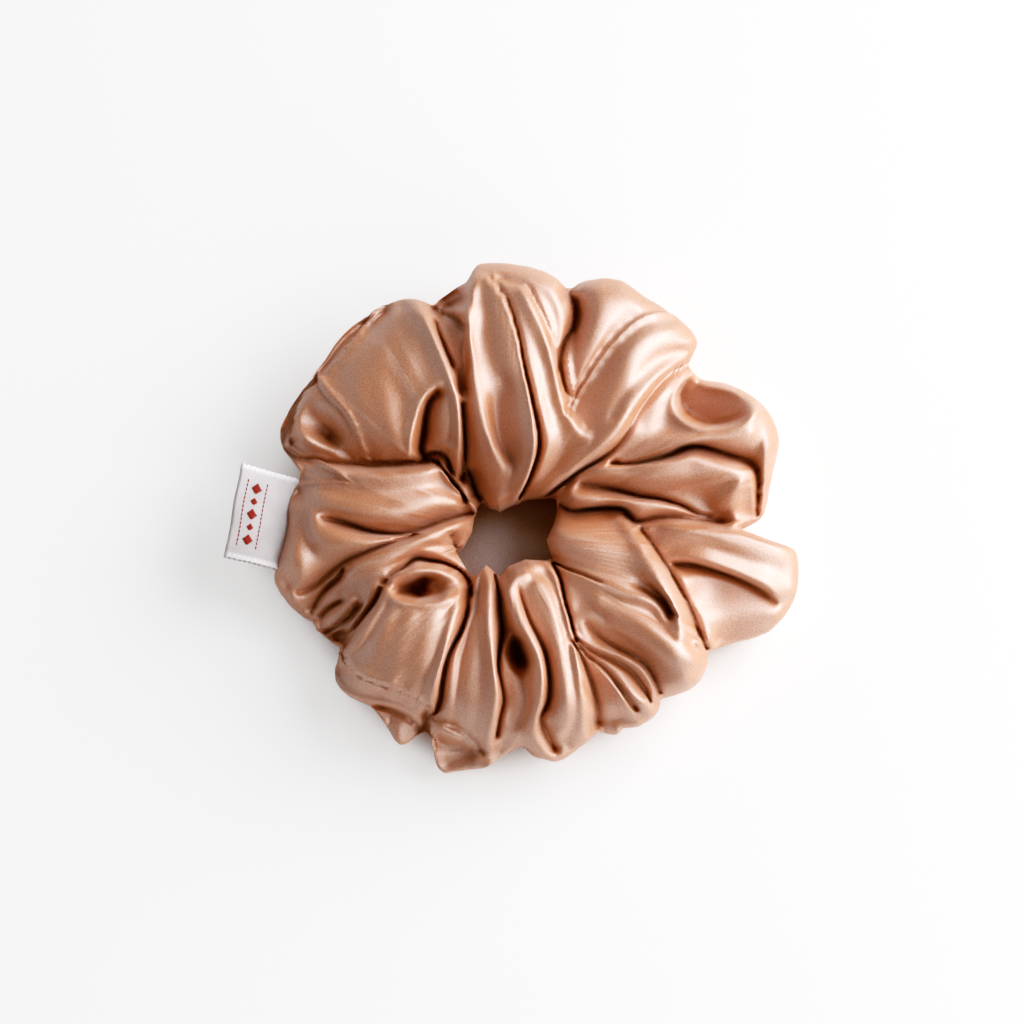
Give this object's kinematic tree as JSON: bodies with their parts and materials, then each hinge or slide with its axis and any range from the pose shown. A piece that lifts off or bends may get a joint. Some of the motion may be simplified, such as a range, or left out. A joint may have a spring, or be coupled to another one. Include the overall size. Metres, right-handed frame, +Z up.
{
  "type": "scrunchie",
  "caption": "Satin scrunchie: a wide fabric tube gathered over a ring of flat elastic, stretching open to hold hair, with a folded ribbon label in its outer seam.",
  "frame": {"origin": "centre of the elastic ring, on the plane the scrunchie rests on", "axes": "+Z up out of the ring's plane, -X towards the label, +X the way the ring is pulled open"},
  "size_m": [0.1228, 0.1096, 0.034],
  "materials": {
    "satin": "champagne satin weave, soft sheen",
    "elastic_band": "braided flat elastic, matte",
    "white_thread": "sewing thread",
    "seam_thread": "sewing thread, matched to the satin",
    "label_ribbon": "pale satin ribbon"
  },
  "bodies": {
    "held_side": {"fabric_cover_held_half": "satin", "elastic_held_half": "elastic_band", "elastic_joint_stitches": "white_thread", "lengthwise_seam_thread_held": "seam_thread", "closing_seam_thread": "seam_thread"},
    "pulled_side": {"fabric_cover_pulled_half": "satin", "elastic_pulled_half": "elastic_band", "lengthwise_seam_thread_pulled": "seam_thread"},
    "label_flap": {"label": "label_ribbon"}
  },
  "joints": [
    {"name": "stretch", "type": "slide", "parent": "held_side", "child": "pulled_side", "axis": [1, 0, 0], "range_m": [0, 0.07], "stiffness_N_per_m": 70},
    {"name": "label_hinge", "type": "hinge", "parent": "held_side", "child": "label_flap", "pos_m": [-0.0503, -0.0006, 0.015], "axis": [0.1736, 0.9848, 0], "range_deg": [-45, 45], "stiffness_Nm_per_rad": 0.002}
  ]
}
